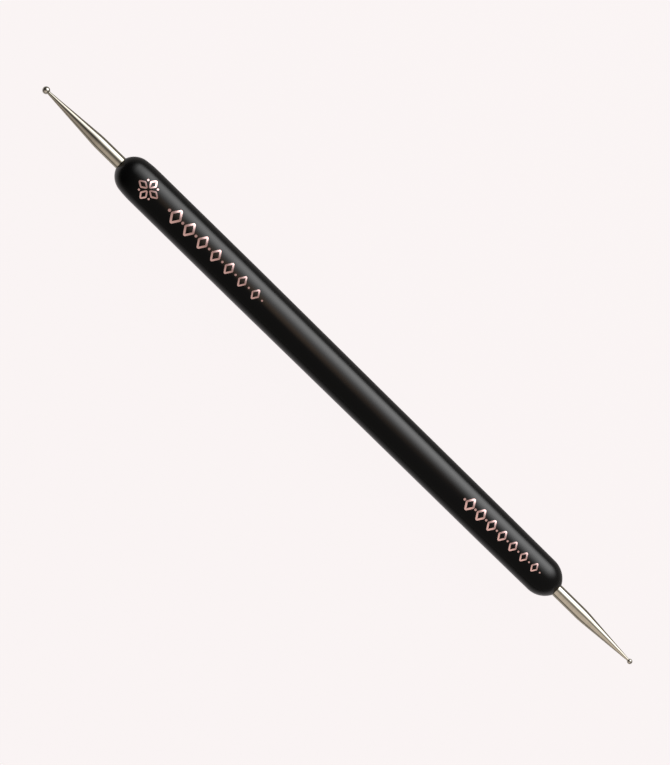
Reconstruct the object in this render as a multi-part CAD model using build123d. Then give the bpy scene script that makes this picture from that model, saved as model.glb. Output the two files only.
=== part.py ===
from build123d import *
import os
from math import atan, cos, radians, sin, sqrt, tan

# Double-ended embossing stylus, lying on its side along X, in millimetres.
# The large ball is at the -X end and the small ball at the +X end. The origin is under the middle of
# the whole tool, on the surface that the thick end of the handle rests on.
os.makedirs("parts", exist_ok=True)

# Handle: turned from one hardwood dowel. The grip is its straight, thickest stretch. From there it
# thins to the waist, on to the throat, and a little faster to the front, where the small nose starts.
handle_length = 96.12
grip_diameter = 6.65
grip_length = 22.0
waist_diameter = 6.42
waist_run = 29.1
throat_diameter = 6.34
front_diameter = 6.21
front_run = 11.2

# Rounded ends of the handle, each an arc down to the flat face that its tip seats on. At the large
# tip's end a shallow shoulder arc leads into it.
large_shoulder_length = 2.61
large_shoulder_drop = 0.167
large_nose_length = 2.61
small_nose_length = 3.36
seat_ring_width = 0.11

# Large tip: a turned steel rod, tapered to a neck, with a ball welded on it
large_ball_diameter = 1.25
large_neck_diameter = 0.54
large_cone_length = 11.0
large_shank_diameter = 2.2
large_shank_length = 4.96
large_tang_length = 12.0

# Small tip, made the same way
small_ball_diameter = 0.86
small_neck_diameter = 0.4
small_cone_length = 9.95
small_shank_diameter = 2.1
small_shank_length = 5.82
small_tang_length = 12.0

# Both tips: the arc that blends shank into cone, the step from shank down to tang, which seats on the
# end of the handle, and the bevel that leads the tang into its bore
cone_blend_radius = 20.0
seat_step = 0.3
tang_bevel = 0.3

# Both bores are drilled wider and deeper than the tang, and the glue fills what is left.
glue_gap = 0.06
glue_depth = 0.5
drill_point_angle = 118.0


def turned(edges):
    """The solid that a closed outline, drawn as radius against X, sweeps about the X axis."""
    return revolve(make_face(edges), Axis.X)


def path(*points):
    """Straight edges through the points, one after another."""
    return Polyline(*points).edges()


class Seat:
    """One end of the handle: the blind bore for a tang, and the flat face that the shank seats on."""

    def __init__(self, shank_diameter, tang_length):
        self.tang_radius = shank_diameter / 2 - seat_step
        self.bore_radius = self.tang_radius + glue_gap
        self.bore_depth = tang_length + glue_depth
        self.bore_point = self.bore_depth + self.bore_radius / tan(radians(drill_point_angle / 2))
        self.rim_radius = shank_diameter / 2 + seat_ring_width


large_seat = Seat(large_shank_diameter, large_tang_length)
small_seat = Seat(small_shank_diameter, small_tang_length)


def handle():
    """The wooden handle with its two bores, the large tip's end at X = 0."""
    large_rim = (0, large_seat.rim_radius)
    shoulder_crest = (large_nose_length, grip_diameter / 2 - large_shoulder_drop)
    grip_start = (large_nose_length + large_shoulder_length, grip_diameter / 2)
    grip_end = (grip_start[0] + grip_length, grip_diameter / 2)
    waist = (grip_end[0] + waist_run, waist_diameter / 2)
    front = (handle_length - small_nose_length, front_diameter / 2)
    throat = (front[0] - front_run, throat_diameter / 2)
    small_rim = (handle_length, small_seat.rim_radius)
    shoulder = TangentArc(grip_start, shoulder_crest, tangent=(-1, 0))
    large_nose = TangentArc(shoulder_crest, large_rim, tangent=shoulder % 1)
    body = path(grip_start, grip_end, waist, throat)
    front_taper = Line(throat, front)
    small_nose = TangentArc(front, small_rim, tangent=front_taper % 1)
    inside = path(
        large_rim,
        (0, large_seat.bore_radius),
        (large_seat.bore_depth, large_seat.bore_radius),
        (large_seat.bore_point, 0),
        (handle_length - small_seat.bore_point, 0),
        (handle_length - small_seat.bore_depth, small_seat.bore_radius),
        (handle_length, small_seat.bore_radius),
        small_rim,
    )
    return turned([large_nose, shoulder, *body, front_taper, small_nose, *inside])


class Tip:
    """One metal tip and its glue. X is zero at the seat, the tang is on the -X side, the ball on the +X."""

    def __init__(
        self, seat, tang_length, shank_diameter, shank_length, cone_length, neck_diameter, ball_diameter
    ):
        self.seat = seat
        self.tang_end = -tang_length
        self.shank_radius = shank_diameter / 2
        self.shank_length = shank_length
        self.neck_end = shank_length + cone_length
        self.neck_radius = neck_diameter / 2
        self.cone_angle = atan((self.shank_radius - self.neck_radius) / cone_length)
        # The weld leaves the ball a flat that the end of the neck covers.
        self.ball_radius = ball_diameter / 2
        self.ball_centre = self.neck_end + sqrt(self.ball_radius**2 - self.neck_radius**2)
        self.reach = self.ball_centre + self.ball_radius

    def tang_outline(self):
        """Points round the tang, from the axis at its inner end to the foot of the seat step."""
        return [
            (self.tang_end, 0),
            (self.tang_end, self.seat.tang_radius - tang_bevel),
            (self.tang_end + tang_bevel, self.seat.tang_radius),
            (0, self.seat.tang_radius),
        ]

    def rod(self):
        """Tang, shank and cone, in one piece."""
        blend = cone_blend_radius * tan(self.cone_angle / 2)
        blend_start = (self.shank_length - blend, self.shank_radius)
        blend_end = (
            self.shank_length + blend * cos(self.cone_angle),
            self.shank_radius - blend * sin(self.cone_angle),
        )
        back = path((self.neck_end, 0), *self.tang_outline(), (0, self.shank_radius), blend_start)
        cone_blend = TangentArc(blend_start, blend_end, tangent=(1, 0))
        front = path(blend_end, (self.neck_end, self.neck_radius), (self.neck_end, 0))
        return turned([*back, cone_blend, *front])

    def ball(self):
        """The ball, flat where the neck is welded to it."""
        weld_edge = (self.neck_end, self.neck_radius)
        nose = (self.reach, 0)
        weld = path(nose, (self.neck_end, 0), weld_edge)
        return turned([*weld, ThreePointArc(weld_edge, (self.ball_centre, self.ball_radius), nose)])

    def glue(self):
        """The cured glue that fills the bore round and below the tang."""
        bore_outline = [
            (0, self.seat.bore_radius),
            (-self.seat.bore_depth, self.seat.bore_radius),
            (-self.seat.bore_point, 0),
            (self.tang_end, 0),
        ]
        return turned(path(*self.tang_outline(), *bore_outline))


large_tip = Tip(
    large_seat,
    large_tang_length,
    large_shank_diameter,
    large_shank_length,
    large_cone_length,
    large_neck_diameter,
    large_ball_diameter,
)
small_tip = Tip(
    small_seat,
    small_tang_length,
    small_shank_diameter,
    small_shank_length,
    small_cone_length,
    small_neck_diameter,
    small_ball_diameter,
)

# Places of the two seats, with the whole tool centred on X = 0 and the grip resting on Z = 0
overall_length = large_tip.reach + handle_length + small_tip.reach
axis_height = grip_diameter / 2
large_end = Pos(large_tip.reach - overall_length / 2, 0, axis_height)
small_end = Pos(overall_length / 2 - small_tip.reach, 0, axis_height)
facing_back = Rot(0, 0, 180)

nodes = {
    "handle": large_end * handle(),
    "large_tip_rod": large_end * facing_back * large_tip.rod(),
    "large_tip_ball": large_end * facing_back * large_tip.ball(),
    "large_tip_glue": large_end * facing_back * large_tip.glue(),
    "small_tip_rod": small_end * small_tip.rod(),
    "small_tip_ball": small_end * small_tip.ball(),
    "small_tip_glue": small_end * small_tip.glue(),
}
for name, solid in nodes.items():
    export_step(solid, f"parts/{name}.step")
print(f"overall length {overall_length:.2f} mm")
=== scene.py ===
"""The looks of a double-ended embossing stylus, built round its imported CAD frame.

The tool lies on a pale floor along X, with its large ball at -X. Sizes are in millimetres until a mesh is
made, and every mesh is in metres, in the frame of the CAD.
"""

import logging
import math
from dataclasses import dataclass
from enum import Enum

import bmesh
import bpy
from bpy.types import AreaLight, Material, Node, NodeOutputs, NodeSocket, NodeTree, Object
from mathutils import Matrix, Vector


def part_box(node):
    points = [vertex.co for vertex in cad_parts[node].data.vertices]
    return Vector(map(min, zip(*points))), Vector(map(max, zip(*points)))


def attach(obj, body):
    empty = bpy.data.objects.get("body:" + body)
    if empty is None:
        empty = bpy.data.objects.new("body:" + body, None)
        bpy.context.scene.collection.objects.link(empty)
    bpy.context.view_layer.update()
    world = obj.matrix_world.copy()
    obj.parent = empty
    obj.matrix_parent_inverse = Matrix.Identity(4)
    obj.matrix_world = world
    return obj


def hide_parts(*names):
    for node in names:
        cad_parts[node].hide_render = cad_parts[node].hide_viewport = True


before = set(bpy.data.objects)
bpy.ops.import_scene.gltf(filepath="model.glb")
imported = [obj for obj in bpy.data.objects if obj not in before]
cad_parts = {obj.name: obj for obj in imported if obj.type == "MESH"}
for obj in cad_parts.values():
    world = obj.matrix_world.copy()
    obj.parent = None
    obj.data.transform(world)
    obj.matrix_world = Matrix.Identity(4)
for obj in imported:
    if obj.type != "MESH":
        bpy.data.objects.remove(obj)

MM = 0.001
BODY = "root"

# The node that works out most patterns, places and lamps
MATH = "ShaderNodeMath"

# How many sides a turned piece has, and the angle from which an edge is sharp
SEGMENTS = 192
SHARP_ANGLE = math.radians(30.0)

# How high above the floor the rays start that find the lacquer under a print, and how far they reach
RAY_START = 20.0
RAY_LENGTH = 30.0

# How finely the lozenges and the dots of a print are divided
CORNER_STEPS = 4
STEPS_PER_STROKE = 4.0
DOT_SIDES = 28
DOT_RINGS = 3

Point = tuple[float, float]
Colour = tuple[float, float, float, float]

log = logging.getLogger("stylus")


def linear(hex_colour: str) -> Colour:
    """Turn an sRGB hex colour into the linear colour that a socket takes.

    Args:
        hex_colour: The colour as "#rrggbb".

    Returns:
        Red, green and blue in linear light, and an alpha of 1.
    """
    parts = [int(hex_colour[k:k + 2], 16) / 255 for k in (1, 3, 5)]
    red, green, blue = [p / 12.92 if p <= 0.04045 else ((p + 0.055) / 1.055) ** 2.4 for p in parts]
    return red, green, blue, 1.0


def connect(tree: NodeTree, node: Node, inputs: dict[str | int, object]) -> None:
    """Give a node's inputs their values and links.

    Args:
        tree: The tree that the node is in.
        node: The node.
        inputs: For each input named or numbered here, its value, the output socket that it is linked from,
            or the node whose first output that is.
    """
    for key, value in inputs.items():
        source = value.outputs[0] if isinstance(value, Node) else value
        if isinstance(source, NodeSocket):
            tree.links.new(source, node.inputs[key])
        else:
            node.inputs[key].default_value = source


def add_node(
    tree: NodeTree, kind: str, inputs: dict[str | int, object] | None = None, **settings: object
) -> Node:
    """Add a node to a tree, with its settings, values and links.

    Args:
        tree: The tree that gets the node.
        kind: The node's type, such as "ShaderNodeBump".
        inputs: The values and links of its inputs, as connect takes them.
        **settings: Properties of the node itself.

    Returns:
        The new node.
    """
    made = tree.nodes.new(kind)
    for name, value in settings.items():
        setattr(made, name, value)
    connect(tree, made, inputs or {})
    return made


def tangent_arc(start: Point, heading: float, end: Point, steps: int) -> tuple[list[Point], float]:
    """Sample the arc that leaves one point in a given heading and ends at another.

    Args:
        start: Where the arc starts. It isn't among the points returned.
        heading: The direction at the start, in radians from +X towards +radius.
        end: Where the arc ends.
        steps: How many points to return.

    Returns:
        The points, the last of which is the end, and the heading there.
    """
    run, rise = end[0] - start[0], end[1] - start[1]
    half_turn = math.remainder(math.atan2(rise, run) - heading, math.tau)
    diameter = math.hypot(run, rise) / math.sin(half_turn)
    points = []
    for step in range(1, steps + 1):
        part = half_turn * step / steps
        bearing = heading + part
        reach = diameter * math.sin(part)
        points.append((start[0] + reach * math.cos(bearing), start[1] + reach * math.sin(bearing)))
    return points, heading + 2 * half_turn


def straight(start: Point, end: Point, longest: float) -> list[Point]:
    """Divide a straight run, leaving out its start.

    Args:
        start: The start of the run.
        end: The end of the run.
        longest: The most that two points may lie apart, in millimetres.

    Returns:
        The points after the start, up to the end.
    """
    steps = max(1, math.ceil(math.dist(start, end) / longest))
    return [
        (start[0] + (end[0] - start[0]) * k / steps, start[1] + (end[1] - start[1]) * k / steps)
        for k in range(1, steps + 1)
    ]


def new_object(name: str, bm: bmesh.types.BMesh, material: Material) -> Object:
    """Make a finished object of a bmesh: normals outwards, smooth but for its sharp edges.

    Args:
        name: The piece's name.
        bm: Its mesh, in metres, which is freed.
        material: Its finish.

    Returns:
        The object, linked to the scene, with its place in its mesh.
    """
    bmesh.ops.recalc_face_normals(bm, faces=bm.faces)
    for face in bm.faces:
        face.smooth = True
    for edge in bm.edges:
        edge.smooth = edge.calc_face_angle(0.0) < SHARP_ANGLE
    mesh = bpy.data.meshes.new(name)
    bm.to_mesh(mesh)
    bm.free()
    mesh.materials.append(material)
    made = bpy.data.objects.new(name, mesh)
    bpy.context.scene.collection.objects.link(made)
    return made


def turn_on_lathe(name: str, outline: list[Point], height: float, material: Material) -> Object:
    """Sweep an outline once round the tool's axis into a closed mesh.

    Args:
        name: The piece's name.
        outline: Radius against X in millimetres, starting and ending on the axis.
        height: How high the axis lies above the floor, in millimetres.
        material: The piece's finish.

    Returns:
        The turned piece.
    """
    bm = bmesh.new()
    rings = []
    for x, radius in outline:
        if radius == 0:
            rings.append([bm.verts.new((x * MM, 0, height * MM))] * SEGMENTS)
            continue
        ring = []
        for k in range(SEGMENTS):
            angle = math.tau * k / SEGMENTS
            y, z = radius * math.sin(angle), height + radius * math.cos(angle)
            ring.append(bm.verts.new((x * MM, y * MM, z * MM)))
        rings.append(ring)
    for ring, following in zip(rings, rings[1:]):
        for k in range(SEGMENTS):
            corners = (ring[k], ring[k - 1], following[k - 1], following[k])
            bm.faces.new(tuple(dict.fromkeys(corners)))
    return new_object(name, bm, material)


def finish_piece(piece: Object, slot: str | None, *nodes: str) -> None:
    """Tie a piece to the CAD frame and report it.

    Args:
        piece: The finished piece.
        slot: The name of a material slot, which is not used.
        *nodes: The CAD nodes that it stands for.
    """
    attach(piece, BODY)
    if nodes:
        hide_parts(*nodes)
    log.info("%s: %d vertices, %d faces", piece.name, len(piece.data.vertices), len(piece.data.polygons))


def new_finish(name: str) -> tuple[Material, Node, NodeSocket]:
    """Start a finish.

    Args:
        name: The material's name.

    Returns:
        The material, its shader, and the Object coordinates that its patterns lie on.
    """
    made = bpy.data.materials.new(name)
    made.use_nodes = True
    place = add_node(made.node_tree, "ShaderNodeTexCoord").outputs["Object"]
    return made, made.node_tree.nodes["Principled BSDF"], place


@dataclass(frozen=True)
class SatinLacquer:
    """Black satin lacquer, sprayed on turned hardwood and rubbed down between coats.

    It is almost black under a soft, broad highlight. Sprayed lacquer dries with a faint orange peel, and
    the pores of the wood show through it as the faintest lengthwise lines. Both have usual sizes.
    """

    colour: str = "#060607"
    pore_colour: str = "#0a0a0b"
    roughness: float = 0.21
    roughness_swing: float = 0.025
    peel_size: float = 1.6
    peel_height: float = 0.0012
    pore_width: float = 0.12
    pore_length: float = 3.5
    pore_depth: float = 0.0006
    ior: float = 1.5

    def material(self) -> Material:
        """Build the lacquer's node tree and return its material."""
        made, shader, place = new_finish("black_satin_lacquer")
        tree = made.node_tree
        peel = add_node(
            tree,
            "ShaderNodeTexNoise",
            {"Vector": place, "Scale": 1 / (self.peel_size * MM), "Detail": 1.0, "Roughness": 0.4},
        )
        stretch = (self.pore_width / self.pore_length, 1.0, 1.0)
        along = add_node(tree, "ShaderNodeVectorMath", {0: place, 1: stretch}, operation="MULTIPLY")
        pores = add_node(
            tree, "ShaderNodeTexNoise", {"Vector": along, "Scale": 1 / (self.pore_width * MM), "Detail": 2.0}
        )
        peel_bump = add_node(tree, "ShaderNodeBump", {"Height": peel, "Distance": self.peel_height * MM})
        pore_bump = add_node(
            tree, "ShaderNodeBump", {"Height": pores, "Distance": self.pore_depth * MM, "Normal": peel_bump}
        )
        low, high = self.roughness - self.roughness_swing, self.roughness + self.roughness_swing
        rubbed = add_node(tree, "ShaderNodeMapRange", {"Value": peel, "To Min": low, "To Max": high})
        tints = {"Factor": pores, "A": linear(self.colour), "B": linear(self.pore_colour)}
        shade = add_node(tree, "ShaderNodeMix", tints, data_type="RGBA")
        looks = {"Base Color": shade.outputs["Result"], "Roughness": rubbed, "Normal": pore_bump}
        connect(tree, shader, {"IOR": self.ior, **looks})
        return made


@dataclass(frozen=True)
class TurnedSteel:
    """Stainless steel, turned to a taper and polished lightly, so that fine rings still run round it.

    The rings spread a reflection along the rod. Real ones lie about 0.05 mm apart, which is too fine to
    show, so these are about four times as coarse.
    """

    ring_colour: str = "#b6b0a0"
    bright_colour: str = "#dcd7ca"
    edge_tint: str = "#cec7b6"
    roughness: float = 0.08
    roughness_swing: float = 0.03
    anisotropy: float = 0.6
    ring_pitch: float = 0.22
    ring_depth: float = 0.0004
    ring_wander: float = 0.06

    def material(self) -> Material:
        """Build the steel's node tree and return its material."""
        made, shader, place = new_finish("turned_stainless_steel")
        tree = made.node_tree
        squeeze = (1.0, self.ring_wander, self.ring_wander)
        flat = add_node(tree, "ShaderNodeVectorMath", {0: place, 1: squeeze}, operation="MULTIPLY")
        rings = add_node(
            tree, "ShaderNodeTexNoise", {"Vector": flat, "Scale": 1 / (self.ring_pitch * MM), "Detail": 3.0}
        )
        low, high = self.roughness - self.roughness_swing, self.roughness + self.roughness_swing
        rubbed = add_node(tree, "ShaderNodeMapRange", {"Value": rings, "To Min": low, "To Max": high})
        tints = {"Factor": rings, "A": linear(self.ring_colour), "B": linear(self.bright_colour)}
        shade = add_node(tree, "ShaderNodeMix", tints, data_type="RGBA")
        looks = {
            "Metallic": 1.0,
            "Specular Tint": linear(self.edge_tint),
            "Anisotropic": self.anisotropy,
            "Tangent": add_node(tree, "ShaderNodeTangent", direction_type="RADIAL", axis="X"),
            "Normal": add_node(tree, "ShaderNodeBump", {"Height": rings, "Distance": self.ring_depth * MM}),
            "Roughness": rubbed,
            "Base Color": shade.outputs["Result"],
        }
        connect(tree, shader, looks)
        return made


@dataclass(frozen=True)
class BearingSteel:
    """A polished bearing ball of chrome steel: a mirror with only the faintest haze of handling.

    Real haze is finer. To show at all, it lies in patches a quarter as wide as the larger ball.
    """

    colour: str = "#d2cec4"
    worn_colour: str = "#c4beb0"
    roughness: float = 0.04
    roughness_swing: float = 0.016
    haze_size: float = 0.3

    def material(self) -> Material:
        """Build the ball's node tree and return its material."""
        made, shader, place = new_finish("polished_bearing_steel")
        tree = made.node_tree
        haze = add_node(
            tree, "ShaderNodeTexNoise", {"Vector": place, "Scale": 1 / (self.haze_size * MM), "Detail": 2.0}
        )
        tints = {"Factor": haze, "A": linear(self.worn_colour), "B": linear(self.colour)}
        shade = add_node(tree, "ShaderNodeMix", tints, data_type="RGBA")
        low, high = self.roughness - self.roughness_swing, self.roughness + self.roughness_swing
        rubbed = add_node(tree, "ShaderNodeMapRange", {"Value": haze, "To Min": low, "To Max": high})
        connect(tree, shader, {"Metallic": 1.0, "Base Color": shade.outputs["Result"], "Roughness": rubbed})
        return made


@dataclass(frozen=True)
class RoseFoil:
    """Rose gold foil, stamped hot on the lacquer under a thin clear varnish.

    The metal film has a satin, slightly grainy shine. Its real grain is far too fine to show, so this one
    is about as wide as a pixel of the render.
    """

    colour: str = "#ffd6d2"
    thin_colour: str = "#f8ccc8"
    roughness: float = 0.22
    varnish: float = 1.0
    varnish_roughness: float = 0.21
    grain_size: float = 0.18
    grain_depth: float = 0.002

    def material(self) -> Material:
        """Build the foil's node tree and return its material."""
        made, shader, place = new_finish("rose_gold_stamping_foil")
        tree = made.node_tree
        grain = add_node(
            tree, "ShaderNodeTexNoise", {"Vector": place, "Scale": 1 / (self.grain_size * MM), "Detail": 3.0}
        )
        tints = {"Factor": grain, "A": linear(self.thin_colour), "B": linear(self.colour)}
        shade = add_node(tree, "ShaderNodeMix", tints, data_type="RGBA")
        looks = {
            "Metallic": 1.0,
            "Roughness": self.roughness,
            "Coat Weight": self.varnish,
            "Coat Roughness": self.varnish_roughness,
            "Normal": add_node(tree, "ShaderNodeBump", {"Height": grain, "Distance": self.grain_depth * MM}),
            "Base Color": shade.outputs["Result"],
        }
        connect(tree, shader, looks)
        return made


@dataclass(frozen=True)
class CuredGlue:
    """Two-part epoxy glue, cured clear amber, with fine bubbles in it. The wood hides all of it."""

    colour: str = "#c7ad78"
    bubble_colour: str = "#ddc99c"
    bubble_size: float = 0.25
    roughness: float = 0.22
    ior: float = 1.55

    def material(self) -> Material:
        """Build the glue's node tree and return its material."""
        made, shader, place = new_finish("cured_epoxy_glue")
        tree = made.node_tree
        bubbles = add_node(
            tree, "ShaderNodeTexVoronoi", {"Vector": place, "Scale": 1 / (self.bubble_size * MM)}
        )
        tints = {"Factor": bubbles, "A": linear(self.bubble_colour), "B": linear(self.colour)}
        shade = add_node(tree, "ShaderNodeMix", tints, data_type="RGBA")
        looks = {"Roughness": self.roughness, "IOR": self.ior, "Base Color": shade.outputs["Result"]}
        connect(tree, shader, looks)
        return made


@dataclass(frozen=True)
class Seat:
    """One end of the handle: the blind bore for a tang, and the flat ring that the shank seats on."""

    shank_diameter: float
    tang_length: float = 12.0
    ring_width: float = 0.11
    step: float = 0.3
    glue_gap: float = 0.06
    glue_depth: float = 0.5
    drill_point_angle: float = 118.0

    @property
    def tang_radius(self) -> float:
        """The tang's radius, which is a step less than the shank's."""
        return self.shank_diameter / 2 - self.step

    @property
    def bore_radius(self) -> float:
        """The radius of the drilled bore."""
        return self.tang_radius + self.glue_gap

    @property
    def bore_depth(self) -> float:
        """How deep the bore's straight wall goes."""
        return self.tang_length + self.glue_depth

    @property
    def bore_point(self) -> float:
        """How deep the drill's point went."""
        return self.bore_depth + self.bore_radius / math.tan(math.radians(self.drill_point_angle / 2))

    @property
    def rim_radius(self) -> float:
        """The outer radius of the flat seat ring."""
        return self.shank_diameter / 2 + self.ring_width


@dataclass(frozen=True)
class Handle:
    """The turned wooden handle, from the large tip's seat at its own X = 0."""

    large_seat: Seat
    small_seat: Seat
    length: float = 96.12
    grip_diameter: float = 6.65
    grip_length: float = 22.0
    waist_diameter: float = 6.42
    waist_run: float = 29.1
    throat_diameter: float = 6.34
    front_diameter: float = 6.21
    front_run: float = 11.2
    shoulder_length: float = 2.61
    shoulder_drop: float = 0.167
    large_nose_length: float = 2.61
    small_nose_length: float = 3.36
    longest_run: float = 1.0
    arc_steps: int = 32

    def outline(self) -> list[Point]:
        """Return the closed outline of the wood, from the large bore's point round to the small bore's."""
        large, small = self.large_seat, self.small_seat
        crest = (self.large_nose_length, self.grip_diameter / 2 - self.shoulder_drop)
        grip_start = (self.large_nose_length + self.shoulder_length, self.grip_diameter / 2)
        grip_end = (grip_start[0] + self.grip_length, self.grip_diameter / 2)
        waist = (grip_end[0] + self.waist_run, self.waist_diameter / 2)
        front = (self.length - self.small_nose_length, self.front_diameter / 2)
        throat = (front[0] - self.front_run, self.throat_diameter / 2)
        shoulder, heading = tangent_arc(grip_start, math.pi, crest, self.arc_steps // 2)
        large_nose, _ = tangent_arc(crest, heading, (0.0, large.rim_radius), self.arc_steps)
        front_heading = math.atan2(front[1] - throat[1], front[0] - throat[0])
        small_nose, _ = tangent_arc(front, front_heading, (self.length, small.rim_radius), self.arc_steps)
        points = [(large.bore_point, 0.0), (large.bore_depth, large.bore_radius)]
        points += straight(points[-1], (0.0, large.bore_radius), self.longest_run)
        points += [*reversed(large_nose), *reversed(shoulder), grip_start]
        for corner in (grip_end, waist, throat, front):
            points += straight(points[-1], corner, self.longest_run)
        points += [*small_nose, (self.length, small.bore_radius)]
        points += straight(points[-1], (self.length - small.bore_depth, small.bore_radius), self.longest_run)
        points.append((self.length - small.bore_point, 0.0))
        return points

    def build(self, start: float, height: float, material: Material) -> Object:
        """Turn the handle and put it in its place.

        Args:
            start: The X of the large tip's seat, in millimetres.
            height: The height of the tool's axis, in millimetres.
            material: The lacquer.

        Returns:
            The handle.
        """
        placed = [(start + x, radius) for x, radius in self.outline()]
        piece = turn_on_lathe("lacquered_handle", placed, height, material)
        finish_piece(piece, "black_lacquered_wood", "handle")
        return piece


@dataclass(frozen=True)
class Tip:
    """A metal tip: a turned rod, glued in the handle by its tang, with a polished ball welded on its neck.

    Its own X is zero at the seat, with the tang on the -X side and the ball on the +X side.
    """

    name: str
    seat: Seat
    shank_length: float
    cone_length: float
    neck_diameter: float
    ball_diameter: float
    facing: int
    blend_radius: float = 20.0
    tang_bevel: float = 0.3
    longest_run: float = 0.5
    blend_steps: int = 12
    ball_steps: int = 64

    @property
    def neck_end(self) -> float:
        """Where the neck meets the ball."""
        return self.shank_length + self.cone_length

    @property
    def ball_centre(self) -> float:
        """The middle of the ball, which the weld leaves a flat on."""
        return self.neck_end + math.sqrt(self.ball_diameter**2 - self.neck_diameter**2) / 2

    def rod_outline(self) -> list[Point]:
        """Return the rod's outline, from the inner end of its tang to the end of its neck."""
        seat = self.seat
        shank, neck = seat.shank_diameter / 2, self.neck_diameter / 2
        slope = math.atan((shank - neck) / self.cone_length)
        blend = self.blend_radius * math.tan(slope / 2)
        blend_start = (self.shank_length - blend, shank)
        blend_end = (self.shank_length + blend * math.cos(slope), shank - blend * math.sin(slope))
        points = [
            (-seat.tang_length, 0.0),
            (-seat.tang_length, seat.tang_radius - self.tang_bevel),
            (-seat.tang_length + self.tang_bevel, seat.tang_radius),
        ]
        points += straight(points[-1], (0.0, seat.tang_radius), self.longest_run)
        points.append((0.0, shank))
        points += straight(points[-1], blend_start, self.longest_run)
        points += tangent_arc(blend_start, 0.0, blend_end, self.blend_steps)[0]
        points += straight(points[-1], (self.neck_end, neck), self.longest_run)
        points.append((self.neck_end, 0.0))
        return points

    def ball_outline(self) -> list[Point]:
        """Return the ball's outline, from the middle of its weld flat round to its nose."""
        radius, neck = self.ball_diameter / 2, self.neck_diameter / 2
        weld_angle = math.pi - math.asin(neck / radius)
        points = [(self.neck_end, 0.0), (self.neck_end, neck)]
        for step in range(1, self.ball_steps):
            angle = weld_angle * (1 - step / self.ball_steps)
            points.append((self.ball_centre + radius * math.cos(angle), radius * math.sin(angle)))
        points.append((self.ball_centre + radius, 0.0))
        return points

    def build(self, seat_x: float, height: float, steel: Material, mirror: Material) -> list[Object]:
        """Turn the rod and the ball and put them in their places.

        Args:
            seat_x: The X of the tip's seat, in millimetres.
            height: The height of the tool's axis, in millimetres.
            steel: The finish of the rod.
            mirror: The finish of the ball.

        Returns:
            The rod and the ball.
        """
        rod_line = [(seat_x + self.facing * x, radius) for x, radius in self.rod_outline()]
        ball_line = [(seat_x + self.facing * x, radius) for x, radius in self.ball_outline()]
        rod = turn_on_lathe(f"{self.name}_turned_rod", rod_line, height, steel)
        ball = turn_on_lathe(f"{self.name}_polished_ball", ball_line, height, mirror)
        finish_piece(rod, "turned_steel", f"{self.name}_rod")
        finish_piece(ball, "polished_ball_steel", f"{self.name}_ball")
        return [rod, ball]


class Layout(Enum):
    """How the lozenges of a foil print are set out."""

    ROW = False
    ROSETTE = True


def new_tree(name: str, kinds: dict[str, str]) -> tuple[NodeTree, NodeOutputs]:
    """Start a geometry tree that takes in a geometry and the inputs named.

    Args:
        name: The tree's name.
        kinds: The kind of each input after the geometry, such as "Float".

    Returns:
        The tree, and the sockets that its inputs are linked from.
    """
    tree = bpy.data.node_groups.new(name, "GeometryNodeTree")
    tree.interface.new_socket("Geometry", in_out="OUTPUT", socket_type="NodeSocketGeometry")
    for socket, kind in {"Geometry": "Geometry", **kinds}.items():
        tree.interface.new_socket(socket, in_out="INPUT", socket_type=f"NodeSocket{kind}")
    return tree, tree.nodes.new("NodeGroupInput").outputs


def wrap_group() -> NodeTree:
    """Build the node group that bends a flat print round the handle.

    Returns:
        A geometry group with the inputs Geometry, Handle, Turn, Axis Height and Lift.
    """
    kinds = {"Handle": "Geometry", "Turn": "Float", "Axis Height": "Float", "Lift": "Float"}
    tree, given = new_tree("wrap_round_handle", kinds)
    height = given["Axis Height"]
    flat = add_node(tree, "ShaderNodeSeparateXYZ", {0: add_node(tree, "GeometryNodeInputPosition")}).outputs
    above = add_node(tree, "ShaderNodeCombineXYZ", {"X": flat["X"], "Z": RAY_START * MM})
    hit = add_node(
        tree,
        "GeometryNodeRaycast",
        {
            "Target Geometry": given["Handle"],
            "Source Position": above,
            "Ray Direction": (0.0, 0.0, -1.0),
            "Ray Length": RAY_LENGTH * MM,
        },
    )
    crest = add_node(tree, "ShaderNodeSeparateXYZ", {0: hit.outputs["Hit Position"]}).outputs["Z"]
    surface = add_node(tree, MATH, {0: crest, 1: height}, operation="SUBTRACT")
    lifted = add_node(tree, MATH, {0: flat["Z"], 1: given["Lift"]}, operation="ADD")
    radius = add_node(tree, MATH, {0: surface, 1: lifted}, operation="ADD")
    bend = add_node(tree, MATH, {0: flat["Y"], 1: surface}, operation="DIVIDE")
    angle = add_node(tree, MATH, {0: bend, 1: given["Turn"]}, operation="ADD")
    sine = add_node(tree, MATH, {0: angle}, operation="SINE")
    cosine = add_node(tree, MATH, {0: angle}, operation="COSINE")
    across = add_node(tree, MATH, {0: radius, 1: sine}, operation="MULTIPLY")
    up = add_node(tree, MATH, {0: radius, 1: cosine, 2: height}, operation="MULTIPLY_ADD")
    bent = add_node(tree, "ShaderNodeCombineXYZ", {"X": flat["X"], "Y": across, "Z": up})
    moved = add_node(tree, "GeometryNodeSetPosition", {"Geometry": given["Geometry"], "Position": bent})
    add_node(tree, "NodeGroupOutput", {0: moved})
    return tree


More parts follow.
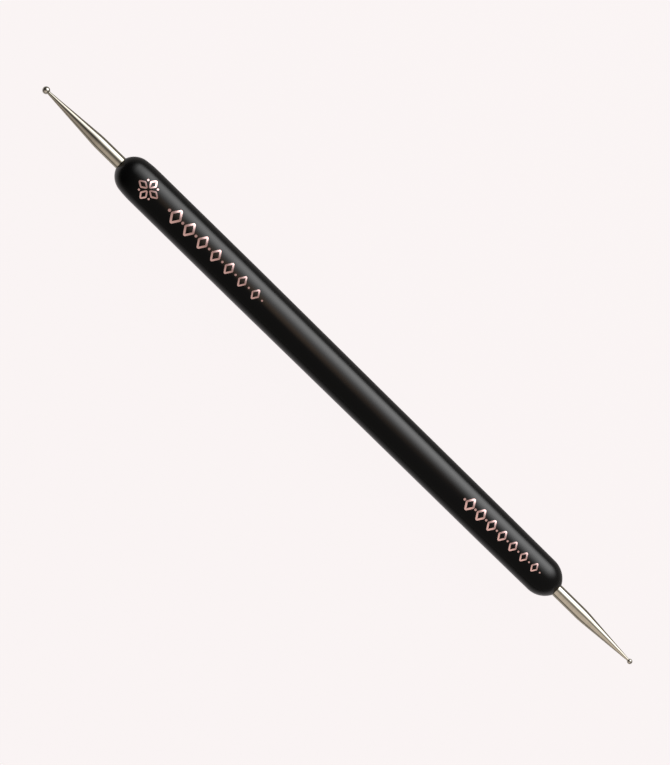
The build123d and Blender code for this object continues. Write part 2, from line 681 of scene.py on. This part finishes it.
@dataclass(frozen=True)
class FoilPrint:
    """A print of open lozenges and dots in thin foil, which follows the round of the handle.

    It is centred on the X of its middle, and a small turn off the top of the handle, as the photograph
    shows it.
    """

    name: str
    layout: Layout
    middle: float
    pitch: float
    lozenge_width: float
    lozenge_height: float
    dot_diameter: float
    dot_reach: float = 0.0
    count: int = 7
    grade: float = 0.3
    stroke: float = 0.36
    thickness: float = 0.016
    proud: float = 0.006
    corner_radius: float = 0.12
    turn: float = math.radians(1.5)

    def tree(self, wrap: NodeTree) -> NodeTree:
        """Build the geometry nodes of one print.

        Args:
            wrap: The group that bends the flat print round the handle.

        Returns:
            A tree whose inputs are the print's sizes, the handle and the foil.
        """
        kinds = {"Handle": "Object", "Foil": "Material", "Round": "Bool", "Count": "Int"}
        tree, given = new_tree(self.name, kinds | dict.fromkeys(self.sizes(0.0), "Float"))
        count, middle = given["Count"], given["Middle"]
        half = {
            name: add_node(tree, MATH, {0: given[name], 1: 2.0}, operation="DIVIDE")
            for name in ("Lozenge Height", "Dot Diameter", "Pitch", "Thickness")
        }
        kite = add_node(
            tree,
            "GeometryNodeCurvePrimitiveQuadrilateral",
            {
                "Width": given["Lozenge Width"],
                "Bottom Height": half["Lozenge Height"],
                "Top Height": half["Lozenge Height"],
            },
            mode="KITE",
        )
        rounded = add_node(
            tree,
            "GeometryNodeFilletCurve",
            {"Curve": kite, "Radius": given["Corner Radius"], "Count": CORNER_STEPS},
            mode="POLY",
        )
        spaced = {0: given["Stroke"], 1: STEPS_PER_STROKE}
        spacing = add_node(tree, MATH, spaced, operation="DIVIDE")
        even = add_node(
            tree, "GeometryNodeResampleCurve", {"Curve": rounded, "Length": spacing}, mode="LENGTH"
        )
        section = add_node(
            tree,
            "GeometryNodeCurvePrimitiveQuadrilateral",
            {"Width": given["Stroke"], "Height": given["Thickness"]},
        )
        lozenge = add_node(
            tree, "GeometryNodeCurveToMesh", {"Curve": even, "Profile Curve": section, "Fill Caps": True}
        )
        dot = add_node(
            tree,
            "GeometryNodeMeshCylinder",
            {
                "Vertices": DOT_SIDES,
                "Fill Segments": DOT_RINGS,
                "Radius": half["Dot Diameter"],
                "Depth": given["Thickness"],
            },
            fill_type="TRIANGLE_FAN",
        )

        # Along a row each lozenge and dot is a little smaller than the last, and the last lozenge is
        # smaller than the first by the share Grade. In a rosette the lozenges point outwards.
        gaps = add_node(tree, MATH, {0: count, 1: 1.0}, operation="SUBTRACT")
        dot_count = add_node(tree, MATH, {0: count, 1: 1.0}, operation="ADD")
        half_run = add_node(tree, MATH, {0: gaps, 1: half["Pitch"]}, operation="MULTIPLY")
        first = add_node(tree, MATH, {0: middle, 1: half_run}, operation="SUBTRACT")
        dot_first = add_node(tree, MATH, {0: first, 1: half["Pitch"]}, operation="SUBTRACT")
        index = add_node(tree, "GeometryNodeInputIndex")
        along = add_node(tree, MATH, {0: index, 1: gaps}, operation="DIVIDE")
        shrunk = add_node(tree, MATH, {0: along, 1: given["Grade"]}, operation="MULTIPLY")
        size = add_node(tree, MATH, {0: 1.0, 1: shrunk}, operation="SUBTRACT")
        scale = add_node(tree, "ShaderNodeCombineXYZ", {"X": size, "Y": size, "Z": 1.0})
        half_part = add_node(tree, MATH, {0: math.pi, 1: count}, operation="DIVIDE")
        part = add_node(tree, MATH, {0: half_part, 1: 2.0}, operation="MULTIPLY")
        spoke = {0: index, 1: part, 2: -math.pi / 2}
        outwards = add_node(tree, MATH, spoke, operation="MULTIPLY_ADD")
        heading = add_node(
            tree,
            "GeometryNodeSwitch",
            {"Switch": given["Round"], "False": 0.0, "True": outwards},
            input_type="FLOAT",
        )
        centre = add_node(tree, "ShaderNodeCombineXYZ", {"X": middle})
        step = add_node(tree, "ShaderNodeCombineXYZ", {"X": given["Pitch"]})
        joined = add_node(tree, "GeometryNodeJoinGeometry")
        for shape, start, number, reach, ring_turn, spin in (
            (dot, dot_first, dot_count, given["Dot Reach"], half_part, 0.0),
            (lozenge, first, count, given["Pitch"], 0.0, heading),
        ):
            start_place = add_node(tree, "ShaderNodeCombineXYZ", {"X": start})
            row = add_node(
                tree, "GeometryNodeMeshLine", {"Count": number, "Start Location": start_place, "Offset": step}
            )
            ring = add_node(tree, "GeometryNodeMeshCircle", {"Vertices": count, "Radius": reach})
            turned = add_node(tree, "ShaderNodeCombineXYZ", {"Z": ring_turn})
            ring_placed = add_node(
                tree, "GeometryNodeTransform", {"Geometry": ring, "Translation": centre, "Rotation": turned}
            )
            points = add_node(
                tree, "GeometryNodeSwitch", {"Switch": given["Round"], "False": row, "True": ring_placed}
            )
            facing = add_node(tree, "ShaderNodeCombineXYZ", {"Z": spin})
            placed = add_node(
                tree,
                "GeometryNodeInstanceOnPoints",
                {"Points": points, "Instance": shape, "Rotation": facing, "Scale": scale},
            )
            tree.links.new(placed.outputs[0], joined.inputs[0])

        realized = add_node(tree, "GeometryNodeRealizeInstances", {0: joined})
        fine = add_node(tree, "GeometryNodeSubdivideMesh", {"Mesh": realized, "Level": 1})
        wood = add_node(
            tree, "GeometryNodeObjectInfo", {"Object": given["Handle"]}, transform_space="RELATIVE"
        )
        lift = add_node(tree, MATH, {0: given["Proud"], 1: half["Thickness"]}, operation="SUBTRACT")
        bent = add_node(
            tree,
            "GeometryNodeGroup",
            {
                "Geometry": fine,
                "Handle": wood.outputs["Geometry"],
                "Turn": given["Turn"],
                "Axis Height": given["Axis Height"],
                "Lift": lift,
            },
            node_tree=wrap,
        )
        foiled = add_node(tree, "GeometryNodeSetMaterial", {0: bent, "Material": given["Foil"]})
        add_node(tree, "NodeGroupOutput", {0: foiled})
        return tree

    def sizes(self, height: float) -> dict[str, float]:
        """Name the print's sizes, in metres and radians.

        Args:
            height: The height of the tool's axis, in millimetres.

        Returns:
            The value for each of the tree's number inputs.
        """
        lengths = {
            "Pitch": self.pitch,
            "Middle": self.middle,
            "Lozenge Width": self.lozenge_width,
            "Lozenge Height": self.lozenge_height,
            "Dot Diameter": self.dot_diameter,
            "Stroke": self.stroke,
            "Dot Reach": self.dot_reach,
            "Thickness": self.thickness,
            "Proud": self.proud,
            "Corner Radius": self.corner_radius,
            "Axis Height": height,
        }
        in_metres = {name: length * MM for name, length in lengths.items()}
        return {**in_metres, "Grade": self.grade, "Turn": self.turn}

    def build(self, handle: Object, height: float, wrap: NodeTree, foil: Material) -> Object:
        """Lay the print on the handle.

        Args:
            handle: The handle that it follows.
            height: The height of the tool's axis, in millimetres.
            wrap: The group that bends the flat print round the handle.
            foil: The foil.

        Returns:
            The print, as a plain mesh.
        """
        carrier = bpy.data.objects.new(f"{self.name}_carrier", bpy.data.meshes.new(f"{self.name}_carrier"))
        bpy.context.scene.collection.objects.link(carrier)
        modifier = carrier.modifiers.new(self.name, "NODES")
        modifier.node_group = self.tree(wrap)
        values = {
            "Handle": handle,
            "Foil": foil,
            "Round": self.layout.value,
            "Count": self.count,
            **self.sizes(height),
        }
        for item in modifier.node_group.interface.items_tree:
            if item.in_out == "INPUT" and item.name in values:
                modifier[item.identifier] = values[item.name]
        carrier.update_tag()
        evaluated = carrier.evaluated_get(bpy.context.evaluated_depsgraph_get())
        mesh = bpy.data.meshes.new_from_object(evaluated)
        bpy.data.objects.remove(carrier)
        bm = bmesh.new()
        bm.from_mesh(mesh)
        bpy.data.meshes.remove(mesh)
        piece = new_object(self.name, bm, foil)
        finish_piece(piece, None)
        return piece


@dataclass(frozen=True)
class Softbox:
    """A soft rectangular lamp over the tool, with its length along X, and dimmer away from its hot spot.

    It hangs off_vertical degrees towards +Y, or towards -Y where its side is -1. Then around swings it
    that many degrees about the tool's middle. The hot spot is given as shares of its length and of its
    width from the top, and the fade as the same shares: lengthwise, upwards and downwards. Power is in
    watts.
    """

    name: str
    off_vertical: float
    width: float
    length: float
    power: float
    colour: str = "#fff1e6"
    side: int = 1
    distance: float = 350.0
    middle: float = 0.0
    hot_spot: tuple[float, float] = (0.5, 0.5)
    fade: tuple[float, float, float] = (10.0, 10.0, 10.0)
    around: float = 0.0

    def build(self, only: list[Object] | None = None) -> None:
        """Hang the lamp so that it faces the tool.

        Args:
            only: The pieces that it lights, if it doesn't light all.
        """
        lamp = bpy.data.lights.new(self.name, "AREA")
        lamp.shape = "RECTANGLE"
        lamp.size = self.length * MM
        lamp.size_y = self.width * MM
        lamp.energy = self.power
        lamp.color = linear(self.colour)[:3]
        self.shade(lamp)
        made = bpy.data.objects.new(self.name, lamp)
        angle = math.radians(self.off_vertical)
        away = Vector((0.0, self.side * math.sin(angle), math.cos(angle)))
        place = Matrix.Translation(away * self.distance * MM + Vector((self.middle * MM, 0.0, 0.0)))
        facing = place @ Matrix.Rotation(-self.side * angle, 4, "X")
        made.matrix_world = Matrix.Rotation(math.radians(self.around), 4, "Z") @ facing
        made.visible_camera = False
        bpy.context.scene.collection.objects.link(made)
        if only:
            lit = bpy.data.collections.new(f"{self.name}_lights")
            for piece in only:
                lit.objects.link(piece)
            made.light_linking.receiver_collection = lit

    def shade(self, lamp: AreaLight) -> None:
        """Make the cloth brightest at its hot spot, and dimmer away from it by bell curves.

        Args:
            lamp: The lamp, whose face runs from 0 to 1 along its length, and across it from the top
                where side is 1 and from the bottom where it is -1.
        """
        lamp.use_nodes = True
        tree = lamp.node_tree
        face = add_node(tree, "ShaderNodeNewGeometry").outputs["Parametric"]
        u, v, _ = add_node(tree, "ShaderNodeSeparateXYZ", {0: face}).outputs
        aside = add_node(tree, MATH, {0: u, 1: self.hot_spot[0]}, operation="SUBTRACT")
        along = add_node(tree, MATH, {0: aside, 1: self.fade[0]}, operation="DIVIDE")
        from_top = add_node(
            tree, MATH, {0: v, 1: self.side, 2: (1 - self.side) / 2}, operation="MULTIPLY_ADD"
        )
        down = add_node(tree, MATH, {0: from_top, 1: self.hot_spot[1]}, operation="SUBTRACT")
        upper = add_node(tree, MATH, {0: down, 1: 0.0}, operation="MINIMUM")
        above = add_node(tree, MATH, {0: upper, 1: self.fade[1]}, operation="DIVIDE")
        lower = add_node(tree, MATH, {0: down, 1: 0.0}, operation="MAXIMUM")
        below = add_node(tree, MATH, {0: lower, 1: self.fade[2]}, operation="DIVIDE")
        across = add_node(tree, MATH, {0: below, 1: above}, operation="SUBTRACT")
        share = add_node(tree, MATH, operation="MULTIPLY")
        for number, distance in enumerate((along, across)):
            squared = add_node(tree, MATH, {0: distance, 1: 2.0}, operation="POWER")
            negative = add_node(tree, MATH, {0: squared, 1: -1.0}, operation="MULTIPLY")
            bell = add_node(tree, MATH, {0: negative}, operation="EXPONENT")
            connect(tree, share, {number: bell})
        connect(tree, tree.nodes["Emission"], {"Strength": share})


@dataclass(frozen=True)
class Studio:
    """The pale floor, the backdrop, the lamps and the camera.

    The camera sees the shadow share of the floor's shading through its even glow. Beside the tool, the
    floor's glow is painted unevenly for the tool's reflections alone. This painted pool of light has the dark
    side share of the glow on the side away from the key light and the key side share on the key side, and it
    fades over glow_reach. The tool also mirrors the far share of the backdrop. By the X of a direction, the
    room has its full light from bright_end on and its dim share up to dim_end.
    """

    backdrop: str = "#faf4f4"
    backdrop_glow: float = 1.079
    paper: str = "#7d7a75"
    room: str = "#6a6764"
    shadow_share: float = 0.08
    # The painted pool of floor glow that the tool mirrors: its share on each side of the tool, how wide the
    # two sides blend, and how far it reaches
    dark_side_share: float = 0.6
    key_side_share: float = 0.18
    side_blend: float = 4.0
    far_share: float = 0.03
    glow_reach: float = 12.0
    dim_share: float = 0.2
    dim_end: float = -0.33
    bright_end: float = 0.06
    floor_size: float = 8000.0
    backdrop_rise: float = 6.0
    backdrop_blend: float = 1.5
    focal_length: float = 179.0
    sensor_width: float = 36.0
    clip: tuple[float, float] = (10.0, 50000.0)
    camera_distance: float = 600.0
    camera_turn: float = 44.39
    aim: tuple[float, float, float] = (0.497, -1.073, 3.325)

    def camera(self) -> None:
        """Hang the camera straight above the tool, turned as the photograph is."""
        data = bpy.data.cameras.new("camera")
        data.lens = self.focal_length
        data.sensor_width = self.sensor_width
        data.clip_start, data.clip_end = [distance * MM for distance in self.clip]
        made = bpy.data.objects.new("camera", data)
        target = Vector(self.aim) * MM
        made.location = target + Vector((0.0, 0.0, self.camera_distance * MM))
        made.rotation_euler = (0.0, 0.0, math.radians(self.camera_turn))
        bpy.context.scene.collection.objects.link(made)
        bpy.context.scene.camera = made

    def seen(self, tree: NodeTree, to_camera: float, in_metal: float | Node) -> Node:
        """Weigh the rays that see the backdrop: camera rays, and glossy and transmission rays.

        Args:
            tree: The tree that gets the nodes.
            to_camera: The weight of a camera ray.
            in_metal: The weight of a glossy or transmission ray.

        Returns:
            A node that gives the ray's weight, which is 0 for any other ray.
        """
        path = add_node(tree, "ShaderNodeLightPath").outputs
        mirrored = add_node(
            tree,
            MATH,
            {0: path["Is Glossy Ray"], 1: path["Is Transmission Ray"]},
            operation="ADD",
            use_clamp=True,
        )
        dulled = add_node(tree, MATH, {0: mirrored, 1: in_metal}, operation="MULTIPLY")
        weights = {0: path["Is Camera Ray"], 1: to_camera, 2: dulled}
        return add_node(tree, MATH, weights, operation="MULTIPLY_ADD")

    def painted_floor_glow(self, tree: NodeTree) -> Node:
        """Weigh the painted glow on the floor that the tool mirrors: a pool of light painted close beside the
        tool, and less further off.

        The side away from the key light is mirrored the brighter of the two, as the photograph has it.

        Args:
            tree: The tree that gets the nodes.

        Returns:
            A node that gives the weight of a glossy ray.
        """
        # Painted light: the glow is brightest right beside the tool, fades away from it, and is painted
        # brighter on the side away from the key light
        place = add_node(tree, "ShaderNodeTexCoord").outputs["Object"]
        across = add_node(tree, "ShaderNodeSeparateXYZ", {0: place}).outputs["Y"]
        distance = add_node(tree, MATH, {0: across, 1: 1 / (self.glow_reach * MM)}, operation="MULTIPLY")
        reach = add_node(tree, MATH, {0: distance, 1: distance, 2: 1.0}, operation="MULTIPLY_ADD")
        side = add_node(
            tree,
            "ShaderNodeMapRange",
            {
                "Value": across,
                "From Min": -self.side_blend * MM,
                "From Max": self.side_blend * MM,
                "To Min": self.dark_side_share,
                "To Max": self.key_side_share,
            },
        )
        return add_node(tree, MATH, {0: side, 1: reach}, operation="DIVIDE")

    def floor(self) -> None:
        """Lay the floor: pale paper that still takes the tool's soft shadow."""
        half = self.floor_size / 2 * MM
        bm = bmesh.new()
        corners = ((-1, -1), (1, -1), (1, 1), (-1, 1))
        bm.faces.new([bm.verts.new((x * half, y * half, 0.0)) for x, y in corners])
        material = bpy.data.materials.new("pale_paper_floor")
        material.use_nodes = True
        tree = material.node_tree
        tree.nodes.clear()
        paper = add_node(tree, "ShaderNodeBsdfDiffuse", {"Color": linear(self.paper)})
        glow = add_node(
            tree, "ShaderNodeEmission", {"Color": linear(self.backdrop), "Strength": self.backdrop_glow}
        )
        # Glossy and transmission rays see the painted pool of glow beside the tool, not an even floor
        share = self.seen(tree, 1 - self.shadow_share, self.painted_floor_glow(tree))
        mixed = add_node(tree, "ShaderNodeMixShader", {0: share, 1: paper, 2: glow})
        add_node(tree, "ShaderNodeOutputMaterial", {"Surface": mixed})
        new_object("floor", bm, material)

    def world(self) -> None:
        """Set the room: pale where the backdrop rises from the floor, dim above it and towards -X."""
        world = bpy.data.worlds.new("room")
        bpy.context.scene.world = world
        world.use_nodes = True
        tree = world.node_tree
        tree.nodes.clear()
        towards = add_node(tree, "ShaderNodeTexCoord").outputs["Generated"]
        along, _, height = add_node(tree, "ShaderNodeSeparateXYZ", {0: towards}).outputs
        ends = {"From Min": self.dim_end, "From Max": self.bright_end, "To Min": self.dim_share}
        dim = add_node(tree, "ShaderNodeMapRange", {"Value": along, **ends}, interpolation_type="SMOOTHSTEP")
        room = add_node(
            tree, "ShaderNodeVectorMath", {0: linear(self.room)[:3], "Scale": dim}, operation="SCALE"
        )
        top = math.sin(math.radians(self.backdrop_rise))
        rise = {"From Min": top, "From Max": top * self.backdrop_blend, "To Min": 1.0, "To Max": 0.0}
        low = add_node(tree, "ShaderNodeMapRange", {"Value": height, **rise}, interpolation_type="SMOOTHSTEP")
        seen = self.seen(tree, 1.0, self.far_share)
        share = add_node(tree, MATH, {0: low, 1: seen}, operation="MULTIPLY")
        colour = add_node(
            tree, "ShaderNodeMix", {"Factor": share, "A": room, "B": linear(self.backdrop)}, data_type="RGBA"
        )
        light = add_node(tree, "ShaderNodeBackground", {"Color": colour.outputs["Result"]})
        add_node(tree, "ShaderNodeOutputWorld", {"Surface": light})

    def build(self, handle: Object, rods: list[Object], balls: list[Object], prints: list[Object]) -> None:
        """Set up the camera, the floor, the room and the lamps.

        The key light is for everything, the warm card for the handle, and the rest for metal and foil.

        Args:
            handle: The lacquered handle.
            rods: The rods of both tips.
            balls: Their balls, which the low cards past both ends aren't for.
            prints: The foil prints, which have one more card to themselves.
        """
        bpy.context.scene.view_settings.view_transform = "Standard"
        self.camera()
        self.floor()
        self.world()
        key = Softbox(
            "key_softbox",
            off_vertical=50.0,
            width=560.0,
            length=1000.0,
            power=7.35,
            colour="#ffffff",
            hot_spot=(0.53, 0.67),
            fade=(0.22, 0.35, 0.29),
        )
        fill = Softbox(
            "fill_reflector",
            off_vertical=38.0,
            width=725.0,
            length=900.0,
            power=1.3,
            side=-1,
            middle=50.0,
            hot_spot=(0.555, 0.58),
            fade=(0.4, 0.27, 0.62),
        )
        far_card = Softbox(
            "far_card",
            off_vertical=12.0,
            width=260.0,
            length=420.0,
            power=0.19,
            side=-1,
            middle=210.0,
            fade=(0.4, 0.4, 0.4),
        )
        end_cards = [
            Softbox(name, off_vertical=78.0, width=150.0, length=500.0, power=0.11, around=around)
            for name, around in (("large_end_card", 90.0), ("small_end_card", -90.0))
        ]
        warm_card = Softbox(
            "warm_card",
            off_vertical=11.0,
            width=270.0,
            length=90.0,
            power=0.078,
            colour="#ffd8b4",
            middle=-22.0,
            fade=(0.4, 0.35, 0.35),
        )
        foil_card = Softbox(
            "foil_card",
            off_vertical=4.0,
            width=260.0,
            length=900.0,
            power=0.17,
            colour="#ffe8dc",
            side=-1,
            fade=(10.0, 0.5, 0.5),
        )
        key.build()
        for card in (fill, far_card):
            card.build(only=[*rods, *balls, *prints])
        for card in end_cards:
            card.build(only=[*rods, *prints])
        warm_card.build(only=[handle])
        foil_card.build(only=prints)


def main() -> None:
    """Build the object and the studio, in order."""
    logging.basicConfig(level=logging.INFO, format="%(message)s")
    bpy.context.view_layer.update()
    low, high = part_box("handle")
    start, end, height = low.x / MM, high.x / MM, (low.z + high.z) / 2 / MM
    large_seat = Seat(shank_diameter=2.2)
    small_seat = Seat(shank_diameter=2.1)
    handle = Handle(large_seat, small_seat).build(start, height, SatinLacquer().material())
    large = Tip(
        "large_tip",
        large_seat,
        shank_length=4.96,
        cone_length=11.0,
        neck_diameter=0.54,
        ball_diameter=1.25,
        facing=-1,
    )
    small = Tip(
        "small_tip",
        small_seat,
        shank_length=5.82,
        cone_length=9.95,
        neck_diameter=0.4,
        ball_diameter=0.86,
        facing=1,
    )
    steel, mirror = TurnedSteel().material(), BearingSteel().material()
    large_rod, large_ball = large.build(start, height, steel, mirror)
    small_rod, small_ball = small.build(end, height, steel, mirror)
    patterns = (
        FoilPrint(
            "foil_rosette",
            Layout.ROSETTE,
            middle=-41.6,
            pitch=1.15,
            lozenge_width=1.1,
            lozenge_height=1.7,
            dot_diameter=0.36,
            dot_reach=1.5,
            count=4,
            grade=0.0,
            stroke=0.26,
        ),
        FoilPrint(
            "foil_long_border",
            Layout.ROW,
            middle=-26.8,
            pitch=2.9,
            lozenge_width=1.75,
            lozenge_height=2.65,
            dot_diameter=0.5,
        ),
        FoilPrint(
            "foil_short_border",
            Layout.ROW,
            middle=36.1,
            pitch=2.35,
            lozenge_width=1.45,
            lozenge_height=2.3,
            dot_diameter=0.42,
            stroke=0.32,
        ),
    )
    wrap, foil = wrap_group(), RoseFoil().material()
    prints = [a_print.build(handle, height, wrap, foil) for a_print in patterns]
    glue = CuredGlue().material()
    for name in ("large_tip_glue", "small_tip_glue"):
        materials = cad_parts[name].data.materials
        materials.clear()
        materials.append(glue)
        log.info("%s: kept as it comes, in glue", name)
    Studio().build(handle, [large_rod, small_rod], [large_ball, small_ball], prints)


if __name__ == "__main__":
    main()
